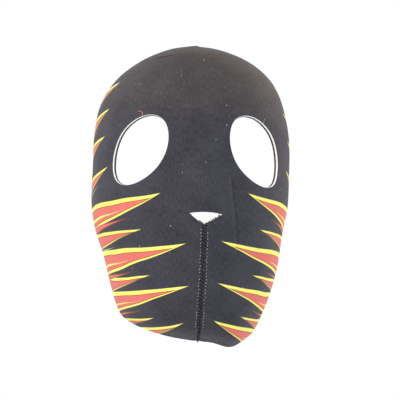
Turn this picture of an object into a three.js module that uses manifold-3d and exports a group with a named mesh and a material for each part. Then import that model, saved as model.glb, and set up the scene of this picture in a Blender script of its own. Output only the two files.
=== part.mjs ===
// Neoprene full-face mask, worn: one soft wall from the chin hem over the crown, with two eye openings,
// a nose opening and two wings that meet at the nape under a closure tab.
// Millimetres. +X is the viewer's right, +Y runs from the face to the nape, +Z is up.
// The origin is in the head hollow, on the mid plane at eye height.
import * as THREE from 'three';
import { LoftGeometry } from 'three/addons/geometries/LoftGeometry.js';
import { mergeVertices } from 'three/addons/utils/BufferGeometryUtils.js';
import Module from 'manifold-3d';

const wasm = await Module();
wasm.setup();

// Walls
const SHELL_WALL = 1.7;
const LINING_GAP = 0.3;
const LINING_WALL = 1.0;
const OPEN_BELOW = 25;

// Form of the face
const KEEL_WIDTH = 16;
const HEM_TILT = 0.075;
const TILT_STARTS_Z = -60;
const TILT_FULL_DROP = 90;
const HEM_DROOP = 7.2;
const HEM_DROOP_X = 34.5;
const HEM_DROOP_WIDTH = 13;
const DROOP_STARTS_Z = -118;
const DROOP_FULL_DROP = 33;

// Eye openings: ovals laid on the slanted plane of cheek and temple
const EYE_CENTRE = new THREE.Vector3(48, -82, 0.9);
const EYE_SHIFT = -3.3;
const EYE_ASKEW = 1.1;
const EYE_YAW = 33;
const EYE_LONG = 64;
const EYE_SHORT = 44.6;
const EYE_TILT = 39.4;
const EYE_POWER = 1.9;
const EYE_DEPTH = 60;
const LINING_SHOWS = 0.6;

// Nose opening: a low triangle with a bowed top edge and its low corner a little left of its middle
const NOSE_X = 3.9;
const NOSE_HALF_WIDTH = 13.1;
const NOSE_TOP_Z = -48.7;
const NOSE_CORNER_Z = -49.9;
const NOSE_LOW_X = -1.9;
const NOSE_LOW_Z = -58.6;
const NOSE_CUT_FRONT_Y = -125;
const NOSE_CUT_DEPTH = 45;

// Back edge seen from the side, as y and z from the crown down to the nape; all behind it is open
const BACK_EDGE = [
  [30, 120],
  [26, 80],
  [17, 45],
  [10, 15],
  [11, -15],
  [26, -40],
  [52, -56],
  [80, -65],
  [120, -72],
];
const BEHIND_Y = 140;
const SIDE_REACH = 120;
const NAPE_GAP = 12;

// Closure tab over the two wing tips
const TAB_GAP = 0.4;
const TAB_THICK = 2.0;
const TAB_HALF_TURN = 22;
const TAB_FROM = 0.03;
const TAB_TO = 0.26;

// Mesh fineness
const AROUND = 44;
const FRONT_CROWDING = 0.35;
const ALONG = 25;
const TAB_ACROSS = 16;
const TAB_ALONG = 8;
const EYE_POINTS = 36;
const SLOPE_STEP = 1e-3;

// Rings of the mask from the chin hem to the top of the crown. Each ring runs through a front, a side and a
// back point; half is its half width at the side, keel how far its middle stands forward at the face, sway
// how far the middle of the face leans to one side, and lean how far the whole ring does.
const COLUMNS = ['frontY', 'frontZ', 'sideY', 'sideZ', 'backY', 'backZ', 'half', 'keel', 'sway', 'lean'];
const RINGS = {
  hem: [-66, -150, -14, -132, 56, -112, 57.0, 0, 1, 0.8],
  jaw: [-87, -140, -14, -124, 62, -103, 60.5, 1, 1.5, 0.6],
  chin: [-97, -118, -14, -108, 68, -92, 66.2, 3, 2, 1.8],
  lip: [-98, -92, -14, -87, 74, -79, 71.8, 3, 2.5, 2.0],
  noseBase: [-101, -63, -14, -61, 80, -62, 77.8, 5, 3.5, -0.6],
  noseTip: [-101, -38, -14, -38, 86, -40, 81.8, 6, 4, -0.4],
  bridge: [-97, -10, -13, -11, 91, -12, 81.8, 3, 3, 0],
  brow: [-97, 20, -10, 17, 93, 14, 81.4, 0, 2, -0.2],
  forehead: [-91, 46, -6, 42, 90, 38, 77.2, 0, 1, -0.3],
  temple: [-78, 67, -4, 62, 80, 57, 67.0, 0, 0.5, 1.4],
  hairline: [-58, 82, -2, 77, 62, 73, 51.0, 0, 0, 2.4],
  crown: [-35, 90.4, 0, 87.4, 40, 84.4, 32.0, 0, 0, 1.2],
  top: [-15, 93.7, 2, 93.2, 19, 92.2, 15.0, 0, 0, -0.6],
  pole: [-1, 94.2, 2, 94, 5, 93.8, 3.0, 0, 0, -0.6],
};
const ringRows = Object.values(RINGS);

const { clamp, degToRad } = THREE.MathUtils;

// A smooth run through the ring table: v is 0 at the hem and 1 at the top of the crown
function ring(v) {
  const last = ringRows.length - 1;
  const place = clamp(v, 0, 1) * last;
  const row = Math.min(Math.floor(place), last - 1);
  const part = place - row;
  const before = ringRows[Math.max(row - 1, 0)];
  const from = ringRows[row];
  const to = ringRows[row + 1];
  const after = ringRows[Math.min(row + 2, last)];
  const values = {};
  COLUMNS.forEach((name, column) => {
    const rise = to[column] - from[column];
    const startSlope = row > 0 ? (to[column] - before[column]) / 2 : rise;
    const endSlope = row < last - 1 ? (after[column] - from[column]) / 2 : rise;
    const bend = (startSlope - rise) * (1 - part) + (rise - endSlope) * part;
    values[name] = from[column] + rise * part + part * (1 - part) * bend;
  });
  return values;
}

// Point on the mask's outer face: turn goes round the ring from the middle of the face (0) to the nape (pi)
function facePoint(turn, v) {
  const r = ring(v);
  const front = Math.max(Math.cos(turn), 0);
  const back = Math.max(-Math.cos(turn), 0);
  const across = r.half * Math.sin(turn);
  const keel = front > 0 ? r.keel * Math.exp(-((across / KEEL_WIDTH) ** 2)) : 0;
  const x = across + r.sway * front ** 2 + r.lean;
  const y = r.sideY + (r.frontY - r.sideY) * front + (r.backY - r.sideY) * back - keel;
  const level = r.sideZ + (r.frontZ - r.sideZ) * front + (r.backZ - r.sideZ) * back;
  const tilt = HEM_TILT * clamp((TILT_STARTS_Z - level) / TILT_FULL_DROP, 0, 1);
  const low = clamp((DROOP_STARTS_Z - level) / DROOP_FULL_DROP, 0, 1) * front;
  const droop = HEM_DROOP * low * Math.exp(-(((x - HEM_DROOP_X) / HEM_DROOP_WIDTH) ** 2));
  return new THREE.Vector3(x, y, level - tilt * x - droop);
}

// The same point moved inwards through the wall
function wallPoint(turn, v, inset) {
  const alongTurn = facePoint(turn + SLOPE_STEP, v).sub(facePoint(turn - SLOPE_STEP, v));
  const alongRings = facePoint(turn, v + SLOPE_STEP).sub(facePoint(turn, v - SLOPE_STEP));
  const outward = alongTurn.cross(alongRings).normalize();
  return facePoint(turn, v).addScaledVector(outward, -inset);
}

// Closed body inside the given inset, its rings closer together round the face than at the nape
function headBody(inset, openBelow) {
  const sections = [];
  for (let row = 0; row <= ALONG; row += 1) {
    const section = [];
    for (let step = 0; step < AROUND; step += 1) {
      const even = (step / AROUND) * 2 * Math.PI - Math.PI;
      section.push(wallPoint(even - FRONT_CROWDING * Math.sin(even), row / ALONG, inset));
    }
    sections.push(section);
  }
  if (openBelow > 0) {
    const dropped = new THREE.Vector3(0, 0, -openBelow);
    sections.unshift(sections[0].map((point) => point.clone().add(dropped)));
  }
  return new LoftGeometry(sections, { closed: true, capStart: true, capEnd: true });
}

// Oval cutter for the eye opening on one side (-1 or 1), its outline drawn in by the given margin
function eyeCutter(side, margin) {
  const tilt = degToRad(EYE_TILT);
  const reach = (value) => Math.sign(value) * Math.abs(value) ** (2 / EYE_POWER);
  const outline = [];
  for (let step = 0; step < EYE_POINTS; step += 1) {
    const angle = (step / EYE_POINTS) * 2 * Math.PI;
    const lengthwise = (EYE_LONG / 2 - margin) * reach(Math.cos(angle));
    const crosswise = (EYE_SHORT / 2 - margin) * reach(Math.sin(angle));
    const outwards = crosswise * Math.cos(tilt) - lengthwise * Math.sin(tilt);
    const upwards = crosswise * Math.sin(tilt) + lengthwise * Math.cos(tilt);
    outline.push(new THREE.Vector2(side * outwards, upwards));
  }
  const extrusion = { depth: EYE_DEPTH, bevelEnabled: false };
  const cutter = new THREE.ExtrudeGeometry(new THREE.Shape(outline), extrusion);
  cutter.translate(0, 0, -EYE_DEPTH / 2);
  cutter.rotateX(Math.PI / 2);
  cutter.rotateZ(side * degToRad(EYE_YAW));
  cutter.translate(side * EYE_CENTRE.x + EYE_SHIFT, EYE_CENTRE.y, EYE_CENTRE.z + side * EYE_ASKEW);
  return cutter;
}

// Cutter for the nose opening, drawn in by the given margin
function noseCutter(margin) {
  const half = NOSE_HALF_WIDTH - margin;
  const cornerZ = NOSE_CORNER_Z - margin / 2;
  const bowZ = 2 * (NOSE_TOP_Z - margin) - cornerZ;
  const outline = new THREE.Shape();
  outline.moveTo(-half, cornerZ);
  outline.lineTo(NOSE_LOW_X, NOSE_LOW_Z + margin);
  outline.lineTo(half, cornerZ);
  outline.quadraticCurveTo(0, bowZ, -half, cornerZ);
  const extrusion = { depth: NOSE_CUT_DEPTH, bevelEnabled: false, curveSegments: 8 };
  const cutter = new THREE.ExtrudeGeometry(outline, extrusion);
  cutter.rotateX(Math.PI / 2);
  cutter.translate(NOSE_X, NOSE_CUT_FRONT_Y + NOSE_CUT_DEPTH, 0);
  return cutter;
}

// Cutter for everything behind the back edge
function backCutter() {
  const edge = BACK_EDGE.map(([y, z]) => new THREE.Vector2(y, z));
  const outline = new THREE.Shape();
  outline.moveTo(edge[0].x, edge[0].y);
  outline.splineThru(edge.slice(1));
  outline.lineTo(BEHIND_Y, edge.at(-1).y);
  outline.lineTo(BEHIND_Y, edge[0].y);
  outline.closePath();
  const extrusion = { depth: 2 * SIDE_REACH, bevelEnabled: false, curveSegments: 3 };
  const cutter = new THREE.ExtrudeGeometry(outline, extrusion);
  cutter.rotateX(Math.PI / 2);
  cutter.rotateZ(Math.PI / 2);
  cutter.translate(-SIDE_REACH, 0, 0);
  return cutter;
}

// Cutter for the slot between the wing tips at the nape
function napeCutter() {
  const [, lowZ] = BACK_EDGE.at(-1);
  const cutter = new THREE.BoxGeometry(NAPE_GAP, BEHIND_Y, 2 * SIDE_REACH);
  cutter.translate(0, BEHIND_Y / 2 + RINGS.top[2], lowZ);
  return cutter;
}

// Closure tab: a curved plate lying on the outer face across the nape
function tabPlate() {
  const sections = [];
  for (let row = 0; row <= TAB_ALONG; row += 1) {
    const v = THREE.MathUtils.lerp(TAB_FROM, TAB_TO, row / TAB_ALONG);
    const turns = [];
    for (let step = 0; step <= TAB_ACROSS; step += 1) {
      turns.push(Math.PI + degToRad(TAB_HALF_TURN) * ((2 * step) / TAB_ACROSS - 1));
    }
    const outer = turns.map((turn) => wallPoint(turn, v, -TAB_GAP - TAB_THICK));
    const inner = turns.map((turn) => wallPoint(turn, v, -TAB_GAP)).reverse();
    sections.push([...outer, ...inner]);
  }
  return new LoftGeometry(sections, { closed: true, capStart: true, capEnd: true });
}

// Boolean solids and back
function toSolid(geometry) {
  const plain = new THREE.BufferGeometry().copy(geometry);
  plain.deleteAttribute('normal');
  plain.deleteAttribute('uv');
  const welded = mergeVertices(plain, 1e-4);
  return new wasm.Manifold(new wasm.Mesh({
    numProp: 3,
    vertProperties: new Float32Array(welded.attributes.position.array),
    triVerts: new Uint32Array(welded.index.array),
  }));
}

function toGeometry(solid) {
  const mesh = solid.getMesh();
  const geometry = new THREE.BufferGeometry();
  geometry.setAttribute('position', new THREE.BufferAttribute(new Float32Array(mesh.vertProperties), 3));
  geometry.setIndex(new THREE.BufferAttribute(new Uint32Array(mesh.triVerts), 1));
  geometry.computeVertexNormals();
  return geometry;
}

// A wall of the mask between two insets, with its openings cut in by the given margin
function maskWall(outerInset, innerInset, margin) {
  const cutters = [
    headBody(innerInset, OPEN_BELOW),
    eyeCutter(-1, margin),
    eyeCutter(1, margin),
    noseCutter(margin),
    backCutter(),
    napeCutter(),
  ];
  const body = toSolid(headBody(outerInset, 0));
  return toGeometry(cutters.reduce((rest, cutter) => rest.subtract(toSolid(cutter)), body));
}

function piece(name, geometry, colour, roughness) {
  const material = new THREE.MeshStandardMaterial({ color: colour, roughness, metalness: 0 });
  const mesh = new THREE.Mesh(geometry, material);
  mesh.name = name;
  return mesh;
}

// Pieces
const liningInset = SHELL_WALL + LINING_GAP;
const mask = new THREE.Group();
mask.name = 'face_mask';
mask.add(piece('mask_shell', maskWall(0, SHELL_WALL, 0), '#3d3d41', 0.9));
mask.add(piece('lining', maskWall(liningInset, liningInset + LINING_WALL, LINING_SHOWS), '#17171a', 0.95));
mask.add(piece('closure_tab', toGeometry(toSolid(tabPlate())), '#1c1c1f', 0.85));

export default mask;
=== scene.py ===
from functools import reduce

import bpy
import numpy as np
from mathutils import Matrix, Vector


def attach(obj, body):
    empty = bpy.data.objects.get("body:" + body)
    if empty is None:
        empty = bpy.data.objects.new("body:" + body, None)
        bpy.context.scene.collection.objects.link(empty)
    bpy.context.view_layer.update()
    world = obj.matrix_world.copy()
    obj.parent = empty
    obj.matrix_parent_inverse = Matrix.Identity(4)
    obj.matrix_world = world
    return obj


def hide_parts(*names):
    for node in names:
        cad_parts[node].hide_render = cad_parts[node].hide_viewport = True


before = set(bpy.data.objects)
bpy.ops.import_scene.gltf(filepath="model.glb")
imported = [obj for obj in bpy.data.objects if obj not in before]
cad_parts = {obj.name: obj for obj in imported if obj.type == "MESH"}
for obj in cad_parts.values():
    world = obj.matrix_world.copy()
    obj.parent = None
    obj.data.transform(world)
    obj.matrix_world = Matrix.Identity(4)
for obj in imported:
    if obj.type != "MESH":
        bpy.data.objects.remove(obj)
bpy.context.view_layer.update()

# Sizes in millimetres and angles in degrees; meshes are written in metres
MM = 0.001

# Walls: the lining shows past the rims of the eye openings and stands back from the nose opening
SHELL_WALL = 1.7
LINING_GAP = 0.3
LINING_WALL = 0.95
LINING_SHOWS = 0.3
LINING_BACK = 1.2
RIM_BULGE = 0.25
RIM_LEAN = 0.8
NOSE_FOAM_BULGE = 1.1

# Form of the face
KEEL_WIDTH = 16
HEM_TILT = 0.075
TILT_STARTS_Z = -60
TILT_FULL_DROP = 90
HEM_DROOP = 7.2
HEM_DROOP_X = 34.5
HEM_DROOP_WIDTH = 13
DROOP_STARTS_Z = -118
DROOP_FULL_DROP = 33

# Rings of the mask from the chin hem to the top of the crown, as in the CAD source. Each runs through a
# front, a side and a back point; half is its half width, keel how far its middle stands forward, sway how
# far the middle of the face stands to the right, and lean how far the whole ring does.
RING_COLUMNS = ("front_y", "front_z", "side_y", "side_z", "back_y", "back_z", "half", "keel", "sway", "lean")
RINGS = {
    "hem": (-66, -150, -14, -132, 56, -112, 57.0, 0, 1, 0.8),
    "jaw": (-87, -140, -14, -124, 62, -103, 60.5, 1, 1.5, 0.6),
    "chin": (-97, -118, -14, -108, 68, -92, 66.2, 3, 2, 1.8),
    "lip": (-98, -92, -14, -87, 74, -79, 71.8, 3, 2.5, 2.0),
    "nose_base": (-101, -63, -14, -61, 80, -62, 77.8, 5, 3.5, -0.6),
    "nose_tip": (-101, -38, -14, -38, 86, -40, 81.8, 6, 4, -0.4),
    "bridge": (-97, -10, -13, -11, 91, -12, 81.8, 3, 3, 0),
    "brow": (-97, 20, -10, 17, 93, 14, 81.4, 0, 2, -0.2),
    "forehead": (-91, 46, -6, 42, 90, 38, 77.2, 0, 1, -0.3),
    "temple": (-78, 67, -4, 62, 80, 57, 67.0, 0, 0.5, 1.4),
    "hairline": (-58, 82, -2, 77, 62, 73, 51.0, 0, 0, 2.4),
    "crown": (-35, 90.4, 0, 87.4, 40, 84.4, 32.0, 0, 0, 1.2),
    "top": (-15, 93.7, 2, 93.2, 19, 92.2, 15.0, 0, 0, -0.6),
    "pole": (-1, 94.2, 2, 94, 5, 93.8, 3.0, 0, 0, -0.6),
}

# Relief of the cloth: the product of two slow waves, by their millimetres to a radian in x and z, the ridge
# of the crown seam with its widths to the left and right, and the puckers and valley along the front seam
WAVE_HEIGHT = 0.3
WAVE_LENGTHS = ((17, 29), (-41, 23))
CROWN_RIDGE = 0.75
CROWN_RIDGE_WIDTHS = (6.0, 1.6)
CROWN_RIDGE_FROM_Z = 86
CROWN_RIDGE_FADE = 6
PUCKER_HEIGHT = 0.2
PUCKER_PITCH = 4.9
PUCKER_ASIDE = 5.5
PUCKER_WIDTH = 2.5
SEAM_VALLEY = 0.3
SEAM_VALLEY_WIDTH = 1.3
SEAM_RELIEF_FROM_Z = -155
SEAM_RELIEF_UNDER_NOSE = 4
SEAM_RELIEF_FADE = 6
SEAM_BEFORE_Y = -40

# Openings and edges. The shift moves both eye openings to one side; askew lifts one and lowers the other.
EYE_CENTRE = (48, -82, 0.9)
EYE_SHIFT = -3.3
EYE_ASKEW = 1.1
EYE_YAW = 33
EYE_LONG = 64
EYE_SHORT = 44.6
EYE_TILT = 39.4
EYE_POWER = 1.9
EYE_DEPTH = 60
NOSE_X = 3.9
NOSE_HALF_WIDTH = 13.1
NOSE_TOP_Z = -48.7
NOSE_CORNER_Z = -49.9
NOSE_LOW_X = -1.9
NOSE_LOW_Z = -58.6
NOSE_BEHIND_Y = -80
BACK_EDGE = ((30, 120), (26, 80), (17, 45), (10, 15), (11, -15), (26, -40), (52, -56), (80, -65), (120, -72))
NAPE_GAP = 12
NAPE_FROM_Y = 2
NAPE_TO_Z = 48
FAR = 50
ON_EDGE = 0.1
EDGE_SLACK = 1e-3

# Closure tab, with half its turn round the nape and v at its lower and upper edges
TAB_GAP = 0.4
TAB_THICK = 2.0
TAB_HALF_TURN = 22
TAB_FROM = 0.03
TAB_TO = 0.26
TAB_CORNER = 6

# Front seam and crown seam. The drift gives heights z and how far the front seam runs to the right at each;
# bars are the black stitches over a seam, dots the white needle stitches beside it.
SEAM_PITCH = 2.65
SEAM_HALF = 2.15
SEAM_DROP = 2.4
SEAM_JITTER = 0.16
SEAM_ABOVE_HEM = 23
SEAM_OVER_CORNER = 2
SEAM_DRIFT = ((-150, -137, -118, -100, -84, -72), (3.2, 0.9, -1.1, -0.9, -0.9, 0))
SEAM_TO_V = 0.5
THREAD_RADIUS = 0.4
THREAD_TAPER = 8
BAR_FALL = 2.2
BAR_BOW = 0.64
BAR_ROUNDNESS = 0.6
BAR_SINK = 0.42
BAR_SEED = 5
BARS_WITHOUT_DOTS = 2
DOT_SIDE = 2.7
DOT_LENGTH = 0.9
DOT_WIDTH = 0.7
DOT_BOW = 0.3
DOT_SINK = (0.15, 0.57)
DOT_SEED = 8
CROWN_SEAM_FROM_Y = 6
CROWN_SEAM_TO_Y = 25
CROWN_SEAM_FROM_V = 0.75
CROWN_ROUNDING = 70

# Loose ends of thread: where they leave the rim as x and z, their straight rise, the radius of their curl,
# which is to the right where it is negative, its turn and the thread's own radius
LOOSE_COLUMNS = ("x", "z", "rise", "curl", "turn", "radius")
LOOSE_ENDS = {
    "coral": (-46.6, 25.6, 2.8, 2.3, 120, 0.14),
    "white": (50.4, 24.8, 2.2, -3.0, 50, 0.19),
}
LOOSE_SINK = 0.4
LOOSE_RISE = 1.2
LOOSE_ARCH = 0.6
HEM_TAIL = 1.2
HEM_TAIL_RADIUS = 1.1
HEM_TAIL_LIFT = 0.2
HEM_TAIL_WAY = (-0.35, 0, -0.94)

# Frayed fibres; their places run along the lower edges from -1 at the left corner to 1 at the right one
FRAYED_ENDS = 110
FRAYED_PLACES = (-0.3, 0.92)
FRAYED_LENGTH = (0.7, 2.2)
FRAYED_SLANT = 50
FRAYED_ROOT = 0.4
FRAYED_LIFT = (-0.6, 0.3)
FRAYED_RISE = 0.3
FRAYED_RADIUS = 0.13
FRAYED_SEED = 11

# Stitching on the tab
TAB_STITCH_INSET = 3.2
TAB_STITCH_PITCH = 2.6
TAB_STITCH_LENGTH = 1.9
TAB_STITCH_RADIUS = 0.28
TAB_STITCH_SINK = 0.2
TAB_STITCH_BOW = 0.35
TAB_STITCH_CORNER_STEP = 15

# Mesh fineness
SHELL_GRID = (296, 188)
LINING_GRID = (240, 150)
TAB_GRID = (60, 44)
FRONT_CROWDING = 0.35
RIM_STEPS = 4
SLOPE_STEP = 1e-3
TINY = 1e-12
SEAM_POINTS = 400
CROWN_POINTS = 120
BACK_EDGE_POINTS = 200
TAB_LINE_POINTS = 60
BAR_POINTS = 15
GRAIN_POINTS = 7
LOOSE_POINTS = 24
TAIL_POINTS = 40
FIBRE_POINTS = 8
THREAD_SIDES = 6
FIBRE_SIDES = 4

# Search for a place on the front of the face: its coarse grid's reach and fineness, and the steps after it
SEARCH_TURN = 1.4
SEARCH_V = 0.9
SEARCH_GRID = 90
SEARCH_STEPS = 4

# Soft creases on the front, straight in x and z: start, end, width and depth. The ridge beside a crease lies
# on the right, looking from its start to its end.
CREASES = {
    "cheek": ((23.5, -14), (32.8, -86), 1.2, 0.3),
    "crown": ((-20.5, 81), (-37, 77.6), 0.8, 0.45),
    "crown_dart": ((-6.4, 76), (-4.8, 88), 0.9, 0.2),
    "nose_corner": ((-6.5, -50.4), (-20, -47.6), 0.9, 0.3),
}
CREASE_FADE = 0.2
# Offset and width of that ridge, in widths of its crease
CREASE_RIDGE = (1.5, 0.9)

# Print: leaf-shaped strokes on one side of the face, as start, tip, bow and width. A place is the length
# round the face from the middle, and the height z; the line from start to tip hangs by its bow half-way.
STROKES = {
    "temple_high": ((222, 34), (84, 60), 5, 14.5),
    "temple_mid": ((218, 11), (93, 37), 5, 13.5),
    "temple_low": ((216, -11), (98, 14), 5, 13.5),
    "cheek_top": ((210, -38), (92, -11), 6, 12.5),
    "cheek_high": ((190, -50), (38, -33), 9, 18),
    "cheek_mid": ((205, -66), (54, -61), 8, 12.5),
    "cheek_low": ((220, -82), (15, -72), 11.5, 19),
    "jaw_top": ((215, -95.5), (46, -97.5), 9.5, 12),
    "jaw_high": ((210, -108), (12, -105), 14, 18),
    "jaw_low": ((170, -124), (38, -131), 10, 11.5),
    "chin": ((130, -139), (12, -134), 12, 14.5),
}
# Coral core of each stroke: share of its width, drop under its line and share of its length
CORE = (0.65, 0.8, 0.93)
# Slivers in or beside some strokes: the stroke they follow, then share, drop and length as for a core
CORAL_SLIVERS = (
    ("temple_mid", 0.26, 9.0, 0.8),
    ("cheek_high", 0.24, 10.5, 0.74),
    ("cheek_low", 0.22, 12.0, 0.7),
    ("jaw_high", 0.22, 11.0, 0.74),
)
GREY_SLIVERS = (
    ("temple_high", 0.22, 8.5, 0.8),
    ("cheek_top", 0.2, 8.5, 0.86),
    ("cheek_mid", 0.24, 8.0, 0.78),
    ("jaw_top", 0.26, 8.0, 0.8),
)
YELLOW_SLIVERS = (
    ("temple_high", 0.12, 2.0, 0.78),
    ("temple_mid", 0.12, 2.2, 0.76),
    ("temple_low", 0.12, 2.0, 0.74),
    ("cheek_high", 0.12, 2.6, 0.76),
    ("cheek_low", 0.12, 2.8, 0.74),
    ("jaw_high", 0.12, 2.6, 0.76),
    ("chin", 0.12, 2.2, 0.7),
)
# Shift of the print down on one side and up on the other, and how far and how finely a noise bends it
PRINT_SHIFT = 1.5
PRINT_WOBBLE = 0.8
PRINT_WOBBLE_SCALE = 32.0
# Softness of the print's edges, width of its rust edge and half width of the dark line in the front seam
INK_SOFT = 0.25
FINE_SOFT = 0.2
RUST_EDGE = 0.55
SEAM_LINE = 0.15

# Ground of the cloth: the edge and softness of each change of tone, and the shares and contrasts of its
# shades.
# The changes of tone are painted light and shade: lighter over the forehead and round the sides, warmer at
# the crown.
FOREHEAD_LIGHT_ABOVE_Z = (32.0, 22.0)
CROWN_LIGHT_ABOVE_Z = (70.0, 14.0)
SIDE_LIGHT_ASIDE = (45.0, 25.0)
STREAK_SHARE = 0.6
CLOUD_SCALE = 45.0
# Painted shade and light along the creases: the ground darker in each crease's valley and lighter on its
# ridge
CREASE_PAINTED_SHADE = 1.4
GROUND_CONTRAST = 0.4
SIDE_LIGHT_CONTRAST = 0.1
GREY_CONTRAST = 0.12
YELLOW_CONTRAST = 0.05
CORAL_CONTRAST = 0.1

# Lint: cells in a metre, share of them with a speck, and a speck's radius, growth and softness in cells
LINT_SCALE = 110.0
LINT_SHARE = 0.1
LINT_RADIUS = 0.01
LINT_GROWTH = 0.04
LINT_SOFT = 0.012

# Knit and grain: pitch of wales and courses, height of a course to that of a wale, streaks in a metre across
# and up, strength of the knit's bump, and depths of both bumps
KNIT_WALE = 1.05
KNIT_COURSE = 0.8
COURSE_HEIGHT = 0.5
STREAK_SCALE = (800.0, 280.0, 1.0)
KNIT_BUMP = 0.35
KNIT_DEPTH = 0.12
GRAIN_DEPTH = 0.4

# Colours, linear
# CHARCOAL is the cloth's own colour, made cooler and darker as painted shade low on the face; the next two
# are painted light: paler over the forehead, and warm at the crown.
CHARCOAL = (0.038, 0.0405, 0.0565)
FOREHEAD_LIGHT_CHARCOAL = (0.05, 0.047, 0.0525)
CROWN_LIGHT_CHARCOAL = (0.0375, 0.032, 0.035)
YELLOW = (0.88, 0.86, 0.18)
CORAL = (0.69, 0.163, 0.15)
PALE_CORAL = (0.88, 0.40, 0.40)
RUST = (0.30, 0.075, 0.03)
GREY = (0.36, 0.37, 0.38)
LINT = (0.38, 0.38, 0.38)
FOAM = (0.97, 0.97, 0.97)
DARK_KNIT = (0.048, 0.048, 0.054)
THREAD = (0.006, 0.006, 0.008)
WHITE_THREAD = (0.34, 0.34, 0.36)
FIBRE = (0.1, 0.1, 0.11)
TAPE = (0.026, 0.026, 0.028)
FLOOR_WHITE = (0.92, 0.9, 0.84)
SHEEN_TINT = (1.0, 0.95, 0.92)
ROOM_WHITE = (1.0, 1.02, 1.1)

# Shine shared by all materials
SPECULAR = 0.25
SHEEN_ROUGHNESS = 0.45

# Lights: place and width in metres, watts and tint
LIGHTS = {
    "key": ((-0.75, -1.1, 0.95), 1.0, 15.5, (1.0, 0.8, 0.52)),
    "right": ((0.85, 0.35, 0.55), 0.5, 4.6, (1.0, 0.76, 0.42)),
}

# Camera, as in the photo
CAMERA_TARGET = (5.6, -40, -36)
CAMERA_AZIMUTH = -6
CAMERA_ELEVATION = -3
CAMERA_ROLL = -2
CAMERA_DISTANCE = 1300
CAMERA_SPAN = 328
SENSOR_WIDTH = 36
FLOOR_Z = -900
FLOOR_REACH = 9000


# Form


def smooth_run(rows, place):
    """Values between the rows of a table at a place counted in rows, as a smooth cubic through all rows."""
    rows = np.asarray(rows, float)
    last = len(rows) - 1
    place = np.clip(place, 0, last)
    row = np.minimum(place.astype(int), last - 1)
    part = (place - row)[..., None]
    start, end = rows[row], rows[row + 1]
    rise = end - start
    first, final = (row == 0)[..., None], (row == last - 1)[..., None]
    start_slope = np.where(first, rise, (end - rows[np.maximum(row - 1, 0)]) / 2)
    end_slope = np.where(final, rise, (rows[np.minimum(row + 2, last)] - start) / 2)
    bend = (start_slope - rise) * (1 - part) + (rise - end_slope) * part
    return start + rise * part + part * (1 - part) * bend


def ring(v):
    """The ring table's columns at v, which is 0 at the hem and 1 at the top of the crown."""
    rows = list(RINGS.values())
    values = smooth_run(rows, np.asarray(v, float) * (len(rows) - 1))
    return dict(zip(RING_COLUMNS, np.moveaxis(values, -1, 0)))


def face_point(turn, v):
    """Outer face: each ring is two half ellipses through its front, side and back points, with a keel in
    the middle of the face. Below the nose the rings tilt a little sideways, and the hem droops on one
    side."""
    r = ring(v)
    front, back = np.maximum(np.cos(turn), 0), np.maximum(-np.cos(turn), 0)
    across = r["half"] * np.sin(turn)
    keel = r["keel"] * np.exp(-((across / KEEL_WIDTH) ** 2)) * (front > 0)
    x = across + r["sway"] * front**2 + r["lean"]
    y = r["side_y"] + (r["front_y"] - r["side_y"]) * front + (r["back_y"] - r["side_y"]) * back - keel
    level = r["side_z"] + (r["front_z"] - r["side_z"]) * front + (r["back_z"] - r["side_z"]) * back
    tilt = HEM_TILT * np.clip((TILT_STARTS_Z - level) / TILT_FULL_DROP, 0, 1)
    low = np.clip((DROOP_STARTS_Z - level) / DROOP_FULL_DROP, 0, 1) * front
    droop = HEM_DROOP * low * bump(x - HEM_DROOP_X, HEM_DROOP_WIDTH)
    return np.stack([x, y, level - tilt * x - droop], axis=-1)


def unit(vectors):
    """Vectors of length one."""
    return vectors / np.maximum(np.linalg.norm(vectors, axis=-1, keepdims=True), TINY)


def face_normal(turn, v):
    """Outward normal of the face: the cross product of its slopes round and up."""
    low, high = np.clip(v - SLOPE_STEP, 0, 1), np.clip(v + SLOPE_STEP, 0, 1)
    round_slope = face_point(turn + SLOPE_STEP, v) - face_point(turn - SLOPE_STEP, v)
    up_slope = face_point(turn, high) - face_point(turn, low)
    return unit(np.cross(round_slope, up_slope))


def window(value, start, end, fade):
    """One between start and end, falling to zero over the fade on both sides."""
    return np.clip((value - start) / fade + 1, 0, 1) * np.clip((end - value) / fade + 1, 0, 1)


def seam_drift(z):
    """How far the front seam runs to the right of the middle line of the face at a height."""
    return np.interp(z, *SEAM_DRIFT)


def seam_offset(points):
    """Sideways distance from the front seam."""
    column = dict(zip(RING_COLUMNS, np.transpose(list(RINGS.values()))))
    middle = np.interp(points[..., 2], column["front_z"], column["sway"] + column["lean"])
    return points[..., 0] - middle - seam_drift(points[..., 2])


def bump(distance, width):
    """A bell of height one."""
    return np.exp(-((distance / width) ** 2))


def creases(points):
    """Height of the soft creases: a valley along each line and a ridge beside it, faded out at both ends."""
    x, y, z = np.moveaxis(points, -1, 0)
    height = np.zeros_like(x)
    ridge_offset, ridge_width = CREASE_RIDGE
    for (x0, z0), (x1, z1), width, depth in CREASES.values():
        length = np.hypot(x1 - x0, z1 - z0)
        run = ((x - x0) * (x1 - x0) + (z - z0) * (z1 - z0)) / length
        off = ((x - x0) * (z1 - z0) - (z - z0) * (x1 - x0)) / length
        fade = CREASE_FADE * length
        ends = window(run, fade, length - fade, fade) * (y < 0)
        ridge = bump(off - ridge_offset * width, ridge_width * width)
        height += depth * ends * (ridge - bump(off, width))
    return height


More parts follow.
